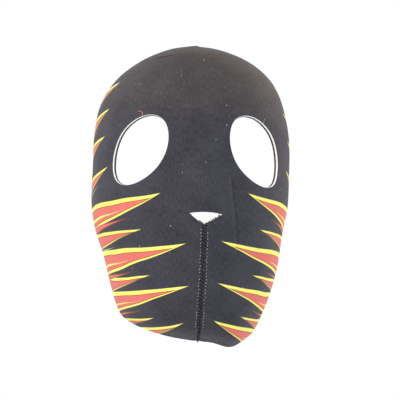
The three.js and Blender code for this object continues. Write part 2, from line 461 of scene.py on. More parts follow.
def relief(points):
    """Small height of the cloth over the plain form: slow waves, the crown seam's ridge, puckers beside the
    front seam, its valley and the soft creases."""
    x, y, z = np.moveaxis(points, -1, 0)
    first, second = (np.sin(x / along_x + z / along_z) for along_x, along_z in WAVE_LENGTHS)
    at_crown = np.clip((z - CROWN_RIDGE_FROM_Z) / CROWN_RIDGE_FADE, 0, 1)
    crown_ridge = CROWN_RIDGE * bump(x, np.where(x < 0, *CROWN_RIDGE_WIDTHS)) * at_crown
    off = seam_offset(points)
    seam_top = NOSE_LOW_Z - SEAM_RELIEF_UNDER_NOSE
    at_seam = window(z, SEAM_RELIEF_FROM_Z, seam_top, SEAM_RELIEF_FADE) * (y < SEAM_BEFORE_Y)
    ripple = np.sin(2 * np.pi * z / PUCKER_PITCH)
    puckers = PUCKER_HEIGHT * ripple * bump(np.abs(off) - PUCKER_ASIDE, PUCKER_WIDTH)
    seam_valley = SEAM_VALLEY * bump(off, SEAM_VALLEY_WIDTH)
    return WAVE_HEIGHT * first * second + crown_ridge + (puckers - seam_valley) * at_seam + creases(points)


def soft_face(turn, v, lift=0.0):
    """The face with its relief, moved outwards by a lift."""
    plain = face_point(turn, v)
    return plain + face_normal(turn, v) * (relief(plain) + lift)[..., None]


# Openings: each field is in millimetres, positive where cloth stays and negative where it is cut away


def eye_field(points, side, margin):
    """Distance outside the oval of one eye opening, drawn in by a margin. The oval is a superellipse, tilted
    in an upright plane that is turned by the yaw."""
    yaw, tilt = np.radians(EYE_YAW), np.radians(EYE_TILT)
    x = side * (points[..., 0] - EYE_SHIFT) - EYE_CENTRE[0]
    y = points[..., 1] - EYE_CENTRE[1]
    outwards = x * np.cos(yaw) + y * np.sin(yaw)
    depth = x * np.sin(yaw) - y * np.cos(yaw)
    upwards = points[..., 2] - EYE_CENTRE[2] - side * EYE_ASKEW
    lengthwise = np.abs(upwards * np.cos(tilt) - outwards * np.sin(tilt)) / (EYE_LONG / 2 - margin)
    crosswise = np.abs(upwards * np.sin(tilt) + outwards * np.cos(tilt)) / (EYE_SHORT / 2 - margin)
    oval = (lengthwise**EYE_POWER + crosswise**EYE_POWER) ** (1 / EYE_POWER)
    return np.where(np.abs(depth) < EYE_DEPTH / 2, (oval - 1) * EYE_SHORT / 2, FAR)


def nose_field(points, margin):
    """Distance outside the nose opening: two straight lower edges and a bowed top."""
    half, corner = NOSE_HALF_WIDTH - margin, NOSE_CORNER_Z - margin / 2
    low, top = NOSE_LOW_Z + margin, NOSE_TOP_Z - margin
    x, z = points[..., 0] - NOSE_X, points[..., 2]
    reach = half + np.where(x < NOSE_LOW_X, NOSE_LOW_X, -NOSE_LOW_X)
    under = (np.abs(x - NOSE_LOW_X) * (corner - low) - (z - low) * reach) / np.hypot(reach, corner - low)
    over = z - corner - (top - corner) * (1 - (x / half) ** 2)
    return np.where(points[..., 1] < NOSE_BEHIND_Y, np.maximum(under, over), FAR)


def back_field(points):
    """Distance in front of the back edge, which is a smooth line seen from the side."""
    line = smooth_run(BACK_EDGE, np.linspace(0, len(BACK_EDGE) - 1, BACK_EDGE_POINTS))[::-1]
    slope = np.gradient(line[:, 0], line[:, 1])
    z = points[..., 2]
    gap = np.interp(z, line[:, 1], line[:, 0]) - points[..., 1]
    return gap / np.hypot(1, np.interp(z, line[:, 1], slope))


def nape_field(points):
    """Distance outside the slot between the wing tips."""
    at_nape = (points[..., 1] > NAPE_FROM_Y) & (points[..., 2] < NAPE_TO_Z)
    return np.where(at_nape, np.abs(points[..., 0]) - NAPE_GAP / 2, FAR)


def cloth_field(points, eye_margin, nose_margin):
    """All openings and edges together."""
    return np.minimum.reduce([
        eye_field(points, -1, eye_margin),
        eye_field(points, 1, eye_margin),
        nose_field(points, nose_margin),
        back_field(points),
        nape_field(points),
    ])


# Meshes


def grid_triangles(rows, columns, closed):
    """Two triangles for each cell of a grid, counter-clockwise seen from outside."""
    row, column = np.mgrid[0 : rows - 1, 0 : columns if closed else columns - 1]
    here = row * columns + column
    beside = row * columns + (column + 1) % columns
    lower = np.stack([here, beside, beside + columns], axis=-1)
    upper = np.stack([here, beside + columns, here + columns], axis=-1)
    return np.concatenate([lower.reshape(-1, 3), upper.reshape(-1, 3)])


def front_corner(triangles, marked):
    """Each triangle turned so that its marked corner comes first."""
    order = (marked.argmax(axis=1)[:, None] + np.arange(3)) % 3
    return np.take_along_axis(triangles, order, axis=1)


def trim(values, triangles, field):
    """Cuts a mesh along field = 0 and keeps the positive side. Where an edge crosses zero it gets a new
    vertex, placed in proportion to the field at both ends; values holds one row per vertex."""
    kept = field > 0
    count = kept[triangles].sum(axis=1)
    one = triangles[count == 1]
    one = front_corner(one, kept[one])
    two = triangles[count == 2]
    two = front_corner(two, ~kept[two])
    ends = np.concatenate([one[:, [0, 1]], one[:, [0, 2]], two[:, [1, 0]], two[:, [2, 0]]])
    ends, place = np.unique(ends, axis=0, return_inverse=True)
    near, far = ends.T
    share = (field[near] / (field[near] - field[far]))[:, None]
    values = np.concatenate([values, values[near] + (values[far] - values[near]) * share])
    place = place.ravel() + len(field)
    first, second, third, fourth = np.split(place, np.cumsum([len(one), len(one), len(two)]))
    cut = np.concatenate([
        triangles[count == 3],
        np.column_stack([one[:, 0], first, second]),
        np.column_stack([third, two[:, 1], two[:, 2]]),
        np.column_stack([third, two[:, 2], fourth]),
    ])
    used, cut = np.unique(cut, return_inverse=True)
    return values[used], cut.reshape(-1, 3)


def rim_edges(triangles):
    """Directed edges with a triangle on their left only."""
    ends = np.concatenate([triangles[:, [0, 1]], triangles[:, [1, 2]], triangles[:, [2, 0]]])
    size = triangles.max() + 1
    return ends[~np.isin(ends[:, 0] * size + ends[:, 1], ends[:, 1] * size + ends[:, 0])]


def thick_sheet(points, normals, triangles, wall, bulge):
    """Closes a sheet into a thin body. The inner face is the outer one moved in by the wall. The rim runs
    through a few rows between them and bows out in the sheet's plane by the sine of the way through, as far
    as each vertex's bulge.
    Returns points, triangles, corner normals and a part number: 0 outer face, 1 rim, 2 inner face."""
    size = len(points)
    edges = rim_edges(triangles)
    outward = np.cross(points[edges[:, 1]] - points[edges[:, 0]], normals[edges].sum(axis=1))
    sideways = np.zeros_like(points)
    np.add.at(sideways, edges.ravel(), np.repeat(outward, 2, axis=0))
    rim = np.unique(edges)
    sideways = unit(sideways[rim])
    order = np.zeros(size, int)
    order[rim] = np.arange(len(rim))
    way = np.arange(1, RIM_STEPS)[:, None, None] / RIM_STEPS
    bow = sideways * bulge[rim, None]
    middle = points[rim] - normals[rim] * wall * way + bow * np.sin(np.pi * way)
    all_points = np.concatenate([points, points - normals * wall, middle.reshape(-1, 3)])
    between = 2 * size + np.arange(middle.size // 3).reshape(RIM_STEPS - 1, -1)
    ladder = np.vstack([rim, between, rim + size])
    lean = RIM_LEAN * np.cos(np.linspace(0, np.pi, RIM_STEPS + 1))[:, None, None]
    rim_normals = unit(sideways + normals[rim] * lean)
    start, end = order[edges].T
    strips, strip_normals = [], []
    for step in range(RIM_STEPS):
        upper, lower = ladder[step], ladder[step + 1]
        strips += [np.column_stack([upper[end], upper[start], lower[start]])]
        strips += [np.column_stack([upper[end], lower[start], lower[end]])]
        upper, lower = rim_normals[step], rim_normals[step + 1]
        strip_normals += [np.stack([upper[end], upper[start], lower[start]], axis=1)]
        strip_normals += [np.stack([upper[end], lower[start], lower[end]], axis=1)]
    inner = triangles[:, ::-1]
    strips, strip_normals = np.concatenate(strips), np.concatenate(strip_normals)
    all_triangles = np.concatenate([triangles, strips, inner + size])
    corner_normals = np.concatenate([normals[triangles], strip_normals, -normals[inner]])
    parts = np.repeat([0, 1, 2], [len(triangles), len(strips), len(inner)])
    return all_points, all_triangles, corner_normals, parts


def add_mesh(name, materials, points, triangles, corner_normals=None, parts=None):
    """A mesh object from whole arrays, its places given in millimetres; parts choose among its materials."""
    mesh = bpy.data.meshes.new(name)
    mesh.vertices.add(len(points))
    mesh.vertices.foreach_set("co", (points * MM).astype(np.float32).ravel())
    mesh.loops.add(triangles.size)
    mesh.loops.foreach_set("vertex_index", triangles.astype(np.int32).ravel())
    mesh.polygons.add(len(triangles))
    mesh.polygons.foreach_set("loop_start", np.arange(0, triangles.size, 3, dtype=np.int32))
    mesh.polygons.foreach_set("use_smooth", np.ones(len(triangles), bool))
    if parts is not None:
        mesh.polygons.foreach_set("material_index", parts.astype(np.int32))
    for material in materials:
        mesh.materials.append(material)
    mesh.update(calc_edges=True)
    if corner_normals is not None:
        mesh.normals_split_custom_set(corner_normals.reshape(-1, 3))
    piece = bpy.data.objects.new(name, mesh)
    bpy.context.scene.collection.objects.link(piece)
    return piece


def both_faces(values, count):
    """A sheet's values on both faces of its thin body, which has count vertices, and zeros on the rim."""
    rim = np.zeros((count - 2 * len(values), *values.shape[1:]))
    return np.concatenate([values, values, rim])


def add_field(piece, name, values):
    """A number for each vertex that a material can read."""
    layer = piece.data.attributes.new(name, "FLOAT", "POINT")
    layer.data.foreach_set("value", values.astype(np.float32))


def add_uv(piece, triangles, places):
    """A UV map in metres on the cloth."""
    layer = piece.data.uv_layers.new(name="cloth")
    layer.uv.foreach_set("vector", (places[triangles.ravel()] * MM).astype(np.float32).ravel())


def belongs(piece, slot, *nodes):
    """Ties a piece to the body and to the CAD nodes it stands for, which it hides. The slot is not used."""
    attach(piece, "root")
    if nodes:
        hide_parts(*nodes)
    return piece


def mask_layer(grid, inset, wall, eye_margin, nose_margin, nose_bulge):
    """One layer of the mask as a closed thin body, and the cloth places of its vertices.

    The outer face is the soft face at an inset on a grid of rows and columns, closed at the crown by a fan
    and cut along the openings. Cloth places are the length round from the middle line and up from the hem."""
    columns, rows = grid
    even = np.linspace(-np.pi, np.pi, columns, endpoint=False)
    turn, v = np.meshgrid(even - FRONT_CROWDING * np.sin(even), np.linspace(0, 1, rows))
    plain = face_point(turn, v)
    points = soft_face(turn, v, -inset)
    round_step = np.roll(points, -1, axis=1) - np.roll(points, 1, axis=1)
    normals = unit(np.cross(round_step, np.gradient(points, axis=0)))
    middle = columns // 2
    lengths = np.linalg.norm(np.diff(plain, axis=1), axis=-1)
    across = np.concatenate([np.zeros((rows, 1)), np.cumsum(lengths, axis=1)], axis=1)
    across -= across[:, middle : middle + 1]
    rises = np.linalg.norm(np.diff(plain[:, middle], axis=0), axis=-1)
    along = np.repeat(np.concatenate([[0], np.cumsum(rises)])[:, None], columns, axis=1)
    # Each vertex's row: its place, its normal, its place on the plain form and its place on the cloth
    values = np.concatenate([points, normals, plain, across[..., None], along[..., None]], axis=-1)
    values = values.reshape(rows * columns, -1)
    values = np.vstack([values, values[-columns:].mean(axis=0)])
    last = (rows - 1) * columns + np.arange(columns)
    fan = np.column_stack([last, np.roll(last, -1), np.full(columns, len(values) - 1)])
    triangles = np.concatenate([grid_triangles(rows, columns, True), fan])
    values, triangles = trim(values, triangles, cloth_field(values[:, 6:9], eye_margin, nose_margin))
    points, normals, plain, cloth = np.split(values, (3, 6, 9), axis=1)
    under_nose = (np.abs(nose_field(plain, nose_margin)) < ON_EDGE) & (plain[:, 2] < NOSE_CORNER_Z)
    body = thick_sheet(points, unit(normals), triangles, wall, RIM_BULGE + nose_bulge * under_nose)
    return body, plain, cloth


# Threads


def thread_mesh(paths, normals, radius, sides=THREAD_SIDES):
    """Tubes along many paths at once: a circle carried along each path and drawn in to a point at its ends.
    Paths are an array of paths, places and coordinates."""
    tangent = unit(np.gradient(paths, axis=1))
    sideways = unit(np.cross(tangent, normals))
    upwards = np.cross(sideways, tangent)
    count, places = paths.shape[:2]
    t = np.linspace(0, 1, places)
    thickness = radius * np.sqrt(np.clip(1 - np.abs(2 * t - 1) ** THREAD_TAPER, 0, 1))[:, None, None]
    angle = np.linspace(0, 2 * np.pi, sides, endpoint=False)[:, None]
    circle = np.cos(angle) * sideways[:, :, None] + np.sin(angle) * upwards[:, :, None]
    points = paths[:, :, None] + circle * thickness
    triangles = grid_triangles(places, sides, True)
    offsets = np.arange(count)[:, None, None] * places * sides
    return points.reshape(-1, 3), (triangles[:, ::-1] + offsets).reshape(-1, 3)


def seam_place(offset, v, lift):
    """Place and normal at a sideways offset from the front seam: the turn is the arc sine of the offset over
    the ring's half width."""
    r = ring(v)
    turn = np.arcsin((offset + seam_drift(r["front_z"])) / r["half"])
    return soft_face(turn, v, lift), face_normal(turn, v)


def seam_run():
    """Lengths along the front seam, from the hem to just over the low corner of the nose opening, and v at
    each."""
    v = np.linspace(0, SEAM_TO_V, SEAM_POINTS)
    line = face_point(np.zeros_like(v), v)
    under_nose = line[:, 2] < NOSE_LOW_Z + SEAM_OVER_CORNER
    v, line = v[under_nose], line[under_nose]
    length = np.concatenate([[0], np.cumsum(np.linalg.norm(np.diff(line, axis=0), axis=1))])
    return length, v


def bar_shape(start):
    """Bars over a seam: sideways offset, length along the seam and lift above the cloth. Each bar falls to
    one side and flattens out there. It bows up on both sides of the seam, and sinks into it and at both
    ends. Seeded random shifts make the bars uneven."""
    random = np.random.default_rng(BAR_SEED)
    shift = random.normal(0, SEAM_JITTER, (3, len(start), 1))
    t = np.linspace(0, 1, BAR_POINTS)[None, :]
    offset = SEAM_HALF * (2 * t - 1) + shift[0]
    fall = t * (BAR_FALL + (1 - BAR_FALL) * t) - 0.5
    length = start + shift[1] - (SEAM_DROP + shift[2]) * fall
    lift = BAR_BOW * np.abs(np.sin(2 * np.pi * t)) ** BAR_ROUNDNESS - BAR_SINK + 0 * start
    return offset, length, lift


def seam_bars():
    """Lengths along the front seam at which its bars lie, counted from the nose opening down."""
    return np.arange(seam_run()[0][-1] - SEAM_DROP / 2, SEAM_ABOVE_HEM, -SEAM_PITCH)[:, None]


def seam_stitches():
    """Black bars across the front seam."""
    length, v = seam_run()
    offset, height, lift = bar_shape(seam_bars())
    places, normals = seam_place(offset, np.interp(height, length, v), lift)
    return thread_mesh(places, normals, THREAD_RADIUS)


def needle_stitches():
    """White needle stitches at both ends of all bars but the first ones: grains along the seam, sunk by
    uneven depths."""
    random = np.random.default_rng(DOT_SEED)
    length, v = seam_run()
    bars = seam_bars()[BARS_WITHOUT_DOTS:]
    start = np.concatenate([bars + SEAM_DROP / 2, bars - SEAM_DROP / 2])
    start = start + random.normal(0, SEAM_JITTER, start.shape)
    side = np.repeat([-1, 1], len(bars))[:, None]
    t = np.linspace(0, 1, GRAIN_POINTS)[None, :]
    height = start + DOT_LENGTH * (t - 0.5)
    offset = side * DOT_SIDE + random.normal(0, SEAM_JITTER, start.shape) + 0 * height
    lift = DOT_BOW * np.sin(np.pi * t) - random.uniform(*DOT_SINK, start.shape)
    places, normals = seam_place(offset, np.interp(height, length, v), lift)
    return thread_mesh(places, normals, DOT_WIDTH / 2)


def crown_stitches():
    """Black bars across the seam over the crown, which follows the middle line from front to back and
    rounds off a little to both sides."""
    v = np.linspace(CROWN_SEAM_FROM_V, 1, CROWN_POINTS)
    front, back = face_point(0 * v, v), face_point(np.pi + 0 * v, v)[::-1]
    middle = np.concatenate([front, back])
    offset, y, lift = bar_shape(np.arange(CROWN_SEAM_FROM_Y, CROWN_SEAM_TO_Y, SEAM_PITCH)[:, None])
    x = offset + np.interp(y, middle[:, 1], middle[:, 0])
    z = np.interp(y, middle[:, 1], middle[:, 2]) - offset**2 / (2 * CROWN_ROUNDING)
    slope = np.interp(y, middle[:, 1], np.gradient(middle[:, 2], middle[:, 1]))
    normals = unit(np.stack([offset / CROWN_ROUNDING, -slope, 1 + 0 * y], axis=-1))
    places = np.stack([x, y, z], axis=-1)
    places = places + normals * (relief(places) + lift)[..., None]
    return thread_mesh(places, normals, THREAD_RADIUS)


def front_place(x, z):
    """Turn and v of the front of the face at x and z: the nearest place of a coarse grid, then a few
    Newton steps."""
    turns = np.linspace(-SEARCH_TURN, SEARCH_TURN, SEARCH_GRID)
    turns, rows = np.meshgrid(turns, np.linspace(0, SEARCH_V, SEARCH_GRID))
    coarse = face_point(turns, rows).reshape(-1, 3)
    miss = np.hypot(coarse[:, 0] - x.ravel()[:, None], coarse[:, 2] - z.ravel()[:, None])
    nearest = miss.argmin(axis=1)
    turn, v = turns.ravel()[nearest], rows.ravel()[nearest]
    for _ in range(SEARCH_STEPS):
        here = face_point(turn, v)
        by_turn = (face_point(turn + SLOPE_STEP, v) - here) / SLOPE_STEP
        by_v = (face_point(turn, v + SLOPE_STEP) - here) / SLOPE_STEP
        right, up = x.ravel() - here[:, 0], z.ravel() - here[:, 2]
        area = by_turn[:, 0] * by_v[:, 2] - by_turn[:, 2] * by_v[:, 0]
        turn = turn + (right * by_v[:, 2] - up * by_v[:, 0]) / area
        v = v + (up * by_turn[:, 0] - right * by_turn[:, 2]) / area
    return turn.reshape(x.shape), v.reshape(x.shape)


def loose_end(name):
    """A curl of loose thread at the rim of an eye opening: it rises straight, turns on an arc and stands a
    little off the cloth."""
    end = dict(zip(LOOSE_COLUMNS, LOOSE_ENDS[name]))
    t = np.linspace(0, 1, LOOSE_POINTS)[None, :]
    length = t * (end["rise"] + abs(end["curl"]) * np.radians(end["turn"]))
    angle = np.maximum(length - end["rise"], 0) / end["curl"]
    x = end["x"] - end["curl"] * (1 - np.cos(angle))
    z = end["z"] + np.minimum(length, end["rise"]) + end["curl"] * np.sin(angle)
    turn, v = front_place(x, z)
    lift = LOOSE_RISE * np.sin(np.pi * LOOSE_ARCH * t) - LOOSE_SINK
    return thread_mesh(soft_face(turn, v, lift), face_normal(turn, v), end["radius"])


def hem_tail():
    """The seam threads' end: a bundle that runs down the seam from the last bar and hangs a little past the
    hem."""
    length, v = seam_run()
    run = np.linspace(0, SEAM_ABOVE_HEM + HEM_TAIL, TAIL_POINTS)[None, :]
    height = np.maximum(SEAM_ABOVE_HEM - run, 0)
    past = np.maximum(run - SEAM_ABOVE_HEM, 0)[..., None]
    places, normals = seam_place(0 * height, np.interp(height, length, v), HEM_TAIL_LIFT + 0 * height)
    return thread_mesh(places + past * np.array(HEM_TAIL_WAY), normals, HEM_TAIL_RADIUS)


def frayed_fibres():
    """Short fibres that stand into the nose opening, most of them along its right lower edge, at seeded
    random slants."""
    random = np.random.default_rng(FRAYED_SEED)
    place = random.uniform(*FRAYED_PLACES, FRAYED_ENDS)[:, None]
    length = random.uniform(*FRAYED_LENGTH, FRAYED_ENDS)[:, None]
    slant = np.radians(random.uniform(-FRAYED_SLANT, FRAYED_SLANT, FRAYED_ENDS))[:, None]
    t = np.linspace(0, 1, FIBRE_POINTS)[None, :]
    middle = NOSE_X + NOSE_LOW_X * (1 - np.abs(place))
    x = middle + NOSE_HALF_WIDTH * place + length * t * np.sin(slant)
    edge = NOSE_LOW_Z + (NOSE_CORNER_Z - NOSE_LOW_Z) * np.abs(place)
    z = edge - FRAYED_ROOT + length * t * np.cos(slant)
    turn, v = front_place(x, z)
    lift = random.uniform(*FRAYED_LIFT, FRAYED_ENDS)[:, None] + FRAYED_RISE * t
    return thread_mesh(soft_face(turn, v, lift), face_normal(turn, v), FRAYED_RADIUS, FIBRE_SIDES)


# Closure tab


def tab_place(across, along, lift):
    """Place and normal on the tab's patch of the face, across and along from -1 to 1."""
    turn = np.pi + np.radians(TAB_HALF_TURN) * across
    v = TAB_FROM + (TAB_TO - TAB_FROM) * (along + 1) / 2
    return soft_face(turn, v, lift), face_normal(turn, v)


def tab_size():
    """Half the tab's width and half its height, measured on its patch of the face."""
    line = np.linspace(-1, 1, TAB_LINE_POINTS)
    across = tab_place(line, 0 * line, TAB_GAP + TAB_THICK + 0 * line)[0]
    along = tab_place(0 * line, line, TAB_GAP + TAB_THICK + 0 * line)[0]
    return tuple(np.linalg.norm(np.diff(path, axis=0), axis=1).sum() / 2 for path in (across, along))


def closure_tab():
    """The tab as a closed thin body: a patch of the face across the nape, lifted off it and cut to a
    rectangle with round corners."""
    columns, rows = TAB_GRID
    across, along = np.meshgrid(np.linspace(-1, 1, columns), np.linspace(-1, 1, rows))
    points, normals = tab_place(across, along, TAB_GAP + TAB_THICK + 0 * across)
    half_width, half_height = tab_size()
    inside_x = np.abs(across) * half_width - half_width + TAB_CORNER
    inside_y = np.abs(along) * half_height - half_height + TAB_CORNER
    field = TAB_CORNER - np.hypot(np.maximum(inside_x, 0), np.maximum(inside_y, 0))
    values = np.concatenate([points, normals], axis=-1).reshape(rows * columns, -1)
    triangles = grid_triangles(rows, columns, False)
    values, triangles = trim(values, triangles, field.ravel() + EDGE_SLACK)
    points, normals = np.split(values, 2, axis=1)
    return thick_sheet(points, unit(normals), triangles, TAB_THICK, np.full(len(values), RIM_BULGE))


def tab_stitches():
    """A line of stitches inside the tab's edge: short grains along a rectangle with round corners."""
    half_width, half_height = tab_size()
    wide, tall = half_width - TAB_CORNER, half_height - TAB_CORNER
    radius = TAB_CORNER - TAB_STITCH_INSET
    corners = np.array([(wide, tall), (-wide, tall), (-wide, -tall), (wide, -tall)])
    quarter = np.arange(0, 90 + TAB_STITCH_CORNER_STEP, TAB_STITCH_CORNER_STEP)
    angles = np.radians(quarter[None, :] + np.array([0, 90, 180, 270])[:, None])
    path = corners[:, None] + radius * np.stack([np.cos(angles), np.sin(angles)], axis=-1)
    path = np.vstack([path.reshape(-1, 2), path[:1, 0]])
    length = np.concatenate([[0], np.cumsum(np.linalg.norm(np.diff(path, axis=0), axis=1))])
    count = int(length[-1] / TAB_STITCH_PITCH)
    t = np.linspace(0, 1, GRAIN_POINTS)[None, :]
    run = np.arange(count)[:, None] * length[-1] / count + TAB_STITCH_LENGTH * t
    across = np.interp(run, length, path[:, 0], period=length[-1]) / half_width
    along = np.interp(run, length, path[:, 1], period=length[-1]) / half_height
    lift = TAB_GAP + TAB_THICK - TAB_STITCH_SINK + TAB_STITCH_BOW * np.sin(np.pi * t) + 0 * run
    places, normals = tab_place(across, along, lift)
    return thread_mesh(places, normals, TAB_STITCH_RADIUS)


# Materials


def node(tree, kind, inputs=(), **settings):
    """A shader node. Inputs are pairs of a socket's name or number and a value or another socket."""
    made = tree.nodes.new(kind)
    for key, value in settings.items():
        setattr(made, key, value)
    for key, value in inputs:
        if isinstance(value, bpy.types.NodeSocket):
            tree.links.new(value, made.inputs[key])
        else:
            made.inputs[key].default_value = value
    return made


def maths(tree, operation, *values):
    """The result of one step of arithmetic."""
    return node(tree, "ShaderNodeMath", enumerate(values), operation=operation).outputs[0]


def below(tree, value, edge, softness):
    """One where a value is under an edge, zero where it is over it."""
    pairs = (("Value", value), ("From Min", edge + softness), ("From Max", edge - softness))
    return node(tree, "ShaderNodeMapRange", pairs, interpolation_type="SMOOTHSTEP").outputs[0]


def above(tree, value, edge, softness):
    """One where a value is over an edge, zero where it is under it."""
    return below(tree, value, edge, -softness)


def spread(tree, value, low, high):
    """The part of a value between low and high, widened to run from zero to one."""
    pairs = (("Value", value), ("From Min", low), ("From Max", high))
    return node(tree, "ShaderNodeMapRange", pairs).outputs[0]


def blend_colour(tree, share, first, second):
    """A colour between two."""
    pairs = ((0, share), (6, as_colour(first)), (7, as_colour(second)))
    return node(tree, "ShaderNodeMix", pairs, data_type="RGBA").outputs[2]


def as_colour(value):
    """A linear colour with full alpha, or a socket as it is."""
    return value if isinstance(value, bpy.types.NodeSocket) else (*value, 1.0)


def new_group(name, outputs):
    """An empty shader group with named outputs, and its output node."""
    group = bpy.data.node_groups.new(name, "ShaderNodeTree")
    for socket, kind in outputs:
        group.interface.new_socket(name=socket, in_out="OUTPUT", socket_type=kind)
    return group, group.nodes.new("NodeGroupOutput")


def use_group(tree, name, inputs=()):
    """A shader group placed in a tree."""
    return node(tree, "ShaderNodeGroup", inputs, node_tree=bpy.data.node_groups[name])


def attribute(tree, name):
    """A vertex field's value."""
    return node(tree, "ShaderNodeAttribute", attribute_name=name).outputs["Fac"]


def toned(tree, share, colour, contrast):
    """A colour scaled from darker to lighter by a contrast."""
    scale = maths(tree, "MULTIPLY_ADD", share, 2 * contrast, 1 - contrast)
    return node(tree, "ShaderNodeVectorMath", ((0, colour), ("Scale", scale)), operation="SCALE").outputs[0]


def noise(tree, vector, scale, detail=2.0, low=0.32, high=0.68):
    """A soft noise, widened from its part between low and high to run from zero to one."""
    pairs = (("Vector", vector), ("Scale", scale), ("Detail", detail))
    return spread(tree, node(tree, "ShaderNodeTexNoise", pairs).outputs[0], low, high)


def knit_group():
    """Fine knit: upright wales and finer courses as a height, and a grain of short upright streaks as a
    shade."""
    group, out = new_group("knit", (("Height", "NodeSocketFloat"), ("Streak", "NodeSocketFloat")))
    uv = node(group, "ShaderNodeUVMap", uv_map="cloth").outputs[0]
    split = node(group, "ShaderNodeSeparateXYZ", ((0, uv),))
    turns = (2 * np.pi / (pitch * MM) for pitch in (KNIT_WALE, KNIT_COURSE))
    angles = (maths(group, "MULTIPLY", place, turn) for place, turn in zip(split.outputs, turns))
    wales, courses = (maths(group, "SINE", angle) for angle in angles)
    height = maths(group, "MULTIPLY_ADD", courses, COURSE_HEIGHT, wales)
    upright = (("Vector", uv), ("Scale", STREAK_SCALE))
    stretched = node(group, "ShaderNodeMapping", upright).outputs[0]
    group.links.new(height, out.inputs["Height"])
    group.links.new(noise(group, stretched, scale=1.0), out.inputs["Streak"])


def grain_group():
    """A fine uneven grain as a height: a noise whose scale is given to the group."""
    group, out = new_group("grain", (("Height", "NodeSocketFloat"),))
    group.interface.new_socket(name="Scale", in_out="INPUT", socket_type="NodeSocketFloat")
    scale = group.nodes.new("NodeGroupInput").outputs["Scale"]
    place = node(group, "ShaderNodeTexCoord").outputs["Object"]
    group.links.new(noise(group, place, scale), out.inputs["Height"])


def stroke_field(tree, across, height, stroke, share=1.0, drop=0.0, reach=1.0):
    """Distance outside one leaf-shaped stroke. The way runs from 0 at its start to 1 at its tip, and half as
    far past both. Its line is the straight one between them, lowered by its bow as a parabola. Its half
    width is a sine of the way, negative past both ends. Share narrows the stroke, drop lowers it and reach
    shortens it."""
    (start, start_z), (tip, tip_z), bow, width = stroke
    length, rise = start - tip, tip_z - start_z
    pairs = (
        ("Value", across),
        ("From Min", start + 0.5 * reach * length),
        ("From Max", start - 1.5 * reach * length),
        ("To Min", -0.5 * reach),
        ("To Max", 1.5 * reach),
    )
    way = node(tree, "ShaderNodeMapRange", pairs).outputs[0]
    slope = maths(tree, "MULTIPLY_ADD", way, 4 * bow, rise - 4 * bow)
    line = maths(tree, "MULTIPLY_ADD", way, slope, start_z - drop)
    off = maths(tree, "ABSOLUTE", maths(tree, "SUBTRACT", height, line))
    square = maths(tree, "MULTIPLY", off, length / np.hypot(length, rise))
    swell = maths(tree, "SINE", maths(tree, "MULTIPLY", way, np.pi / reach))
    return maths(tree, "MULTIPLY_ADD", swell, -0.5 * width * share, square)


def print_fields(tree, uv):
    """Distances outside the print's yellow, coral, grey and inner yellow. Both sides of the face share the
    strokes, shifted a little up and down, and a slow noise bends their lines."""
    across = attribute(tree, "across")
    shift = maths(tree, "MULTIPLY", maths(tree, "SIGN", across), -PRINT_SHIFT)
    wobble = noise(tree, uv, PRINT_WOBBLE_SCALE, detail=0.0)
    bent = maths(tree, "MULTIPLY_ADD", wobble, PRINT_WOBBLE, shift)
    height = maths(tree, "ADD", attribute(tree, "height"), bent)
    place = (tree, maths(tree, "ABSOLUTE", across), height)

    def slivers(table):
        """Distances outside the slivers of a table."""
        return [stroke_field(*place, STROKES[name], *shape) for name, *shape in table]

    yellow = [stroke_field(*place, stroke) for stroke in STROKES.values()]
    coral = [stroke_field(*place, stroke, *CORE) for stroke in STROKES.values()] + slivers(CORAL_SLIVERS)
    fields = (yellow, coral, slivers(GREY_SLIVERS), slivers(YELLOW_SLIVERS))
    return [reduce(lambda one, other: maths(tree, "MINIMUM", one, other), field) for field in fields]


def ground_colour(tree, shade):
    """The ground's colour, with painted light and shade: cool, dark charcoal low on the face as painted
    shade, paler over the forehead and round the sides as painted light, and warmer and darker at the crown as
    painted warm light. The shade darkens and lightens it."""
    height = attribute(tree, "height")
    aside = maths(tree, "ABSOLUTE", attribute(tree, "across"))
    # Painted light: paler over the forehead, then warmer and darker at the crown
    colour = blend_colour(tree, above(tree, height, *FOREHEAD_LIGHT_ABOVE_Z), CHARCOAL, FOREHEAD_LIGHT_CHARCOAL)
    colour = blend_colour(tree, above(tree, height, *CROWN_LIGHT_ABOVE_Z), colour, CROWN_LIGHT_CHARCOAL)
    colour = toned(tree, shade, colour, GROUND_CONTRAST)
    # Painted light: lighter round the sides of the face
    return toned(tree, above(tree, aside, *SIDE_LIGHT_ASIDE), colour, SIDE_LIGHT_CONTRAST)


def lint_mask(tree, uv):
    """Scattered specks of lint: small dots of uneven size in a few of the cells of a pattern."""
    pairs = (("Vector", uv), ("Scale", LINT_SCALE))
    cells = node(tree, "ShaderNodeTexVoronoi", pairs, voronoi_dimensions="2D")
    draw = node(tree, "ShaderNodeSeparateColor", ((0, cells.outputs["Color"]),))
    chosen = maths(tree, "GREATER_THAN", draw.outputs[0], 1 - LINT_SHARE)
    distance = maths(tree, "MULTIPLY_ADD", draw.outputs[1], -LINT_GROWTH, cells.outputs["Distance"])
    return maths(tree, "MULTIPLY", below(tree, distance, LINT_RADIUS, LINT_SOFT), chosen)


